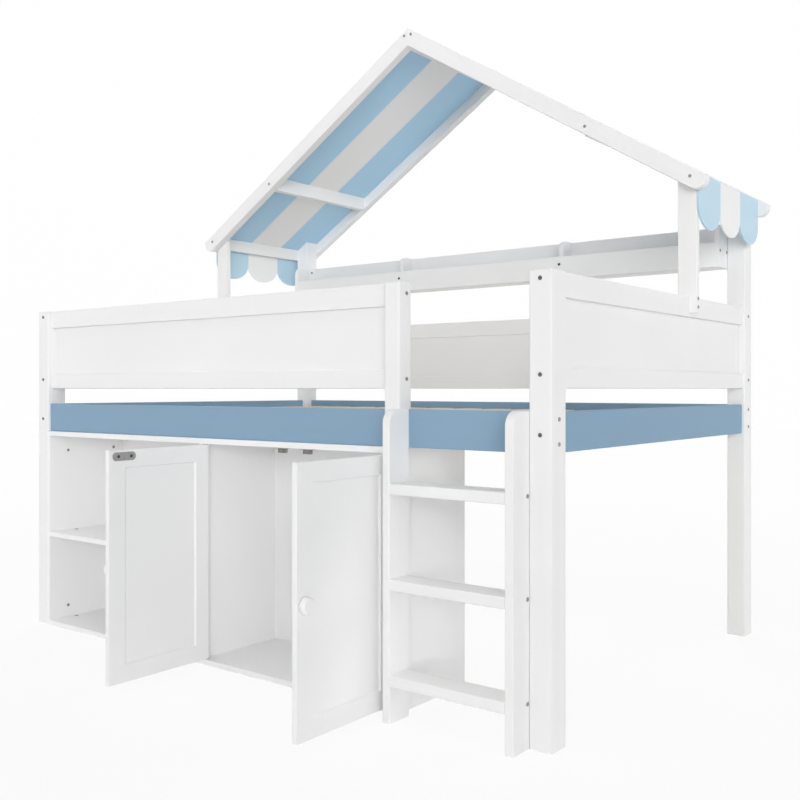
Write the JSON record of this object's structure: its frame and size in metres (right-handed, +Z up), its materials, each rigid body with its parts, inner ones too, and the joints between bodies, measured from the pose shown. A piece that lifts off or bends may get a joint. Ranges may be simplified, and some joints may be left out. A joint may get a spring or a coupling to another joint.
{
  "type": "loft bed",
  "caption": "Low loft bed with panelled guards, a side ladder, an open gable roof with a striped awning, a display shelf and a low cabinet with hinged doors.",
  "frame": {"origin": "on the floor, in the middle of the whole piece with both doors open", "axes": "+X along the bed towards the ladder end, +Y from the ladder side to the back, +Z up"},
  "size_m": [2.114, 1.73, 2.0655],
  "materials": {
    "white_paint": "satin white paint",
    "rail_blue_paint": "satin grey-blue paint",
    "awning_blue_paint": "satin light blue paint",
    "bare_pine": "planed, bare",
    "zinc_steel": "zinc plated"
  },
  "bodies": {
    "bed_frame": {"awning_blue": "awning_blue_paint", "awning_white": "white_paint", "back_bed_rail": "rail_blue_paint", "back_guard_low_rail": "white_paint", "back_guard_panel": "white_paint", "back_guard_top_rail": "white_paint", "back_post_left": "white_paint", "back_post_right": "white_paint", "back_rafter_left": "white_paint", "back_rafter_right": "white_paint", "cabinet_back": "white_paint", "cabinet_base": "white_paint", "cabinet_divider": "white_paint", "cabinet_shelf": "white_paint", "cabinet_side_left": "white_paint", "cabinet_side_right": "white_paint", "cabinet_top": "white_paint", "centre_beam": "bare_pine", "door_catches": "zinc_steel", "front_bed_rail": "rail_blue_paint", "front_guard_low_rail": "white_paint", "front_guard_panel": "white_paint", "front_guard_top_rail": "white_paint", "front_post_left": "white_paint", "front_post_right": "white_paint", "front_rafter_left": "white_paint", "front_rafter_right": "white_paint", "ladder_post": "white_paint", "ladder_rungs": "white_paint", "ladder_stile_left": "white_paint", "ladder_stile_right": "white_paint", "left_bed_rail": "rail_blue_paint", "left_guard_low_rail": "white_paint", "left_guard_panel": "white_paint", "left_guard_top_rail": "white_paint", "ridge_bar": "white_paint", "right_bed_rail": "rail_blue_paint", "right_guard_low_rail": "white_paint", "right_guard_panel": "white_paint", "right_guard_top_rail": "white_paint", "roof_bars": "white_paint", "roof_post_left": "white_paint", "roof_post_right": "white_paint", "shelf_back": "white_paint", "shelf_base": "white_paint", "shelf_lip": "white_paint", "shelf_uprights": "white_paint", "slat_ledges": "bare_pine", "slats": "bare_pine", "valance_blue": "awning_blue_paint", "valance_white": "white_paint"},
    "left_door_leaf": {"left_catch_plate": "zinc_steel", "left_door": "white_paint", "left_door_pins": "zinc_steel", "left_knob": "white_paint"},
    "right_door_leaf": {"right_catch_plate": "zinc_steel", "right_door": "white_paint", "right_door_pins": "zinc_steel", "right_knob": "white_paint"}
  },
  "joints": [
    {"name": "left_door_hinge", "type": "hinge", "parent": "bed_frame", "child": "left_door_leaf", "pos_m": [-0.1375, -0.5235, 0.331], "axis": [0, 0, 1], "range_deg": [-10, 90]},
    {"name": "right_door_hinge", "type": "hinge", "parent": "bed_frame", "child": "right_door_leaf", "pos_m": [0.5475, -0.5235, 0.331], "axis": [0, 0, 1], "range_deg": [-90, 10]}
  ]
}
